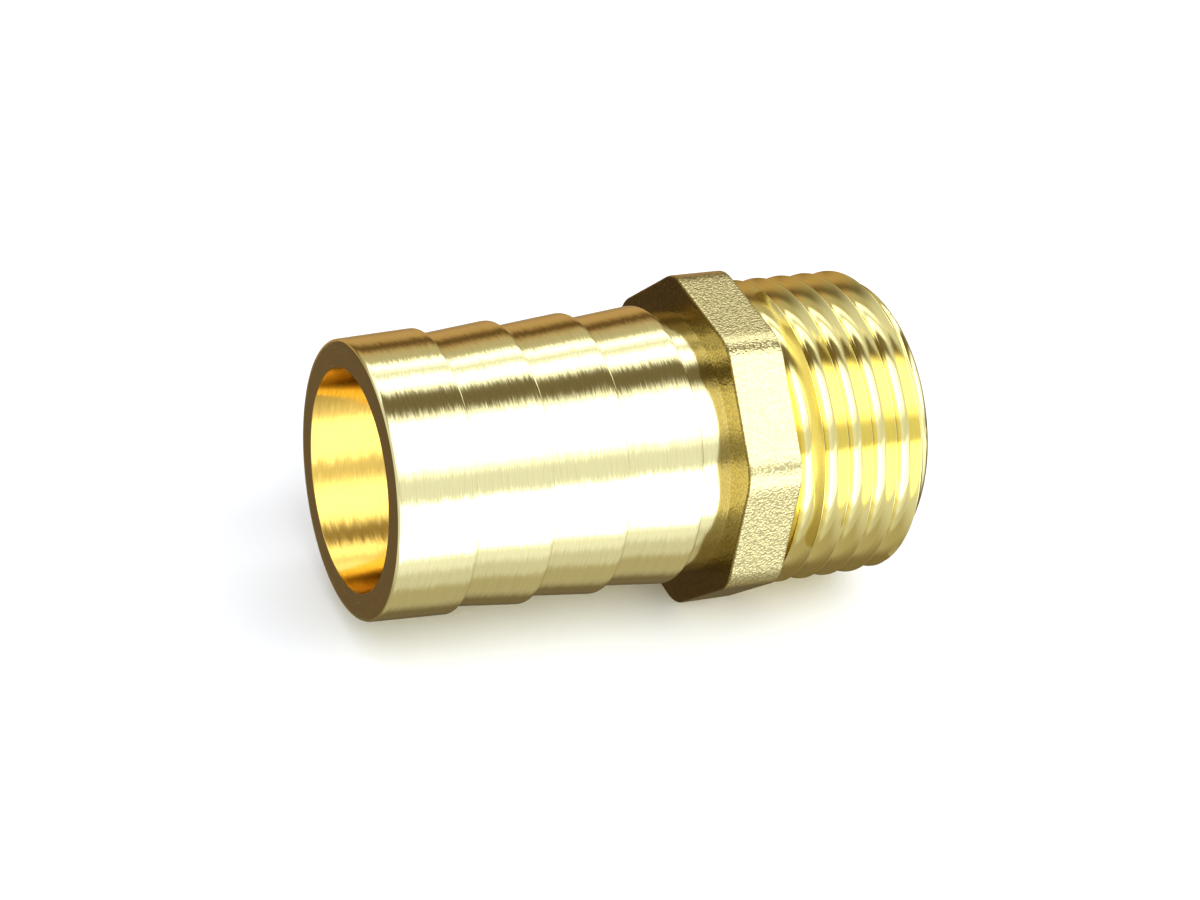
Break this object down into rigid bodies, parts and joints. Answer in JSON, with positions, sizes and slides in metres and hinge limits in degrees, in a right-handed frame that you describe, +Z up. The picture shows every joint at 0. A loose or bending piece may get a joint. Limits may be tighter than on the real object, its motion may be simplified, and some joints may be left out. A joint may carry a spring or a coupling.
{
  "type": "hose barb tail",
  "caption": "One-piece brass hose tail with a barbed spigot, an octagonal wrench collar, a male pipe thread and a straight through bore.",
  "frame": {"origin": "on the bore's axis, in the plane of the collar's shoulder where the thread begins", "axes": "+X along the bore out of the threaded end, +Z up with one flat of the collar facing down"},
  "size_m": [0.038, 0.0216, 0.0216],
  "materials": {
    "brass": "polished where turned, fine cast grain on the collar"
  },
  "bodies": {
    "root": {"hose_tail": "brass"}
  },
  "joints": []
}
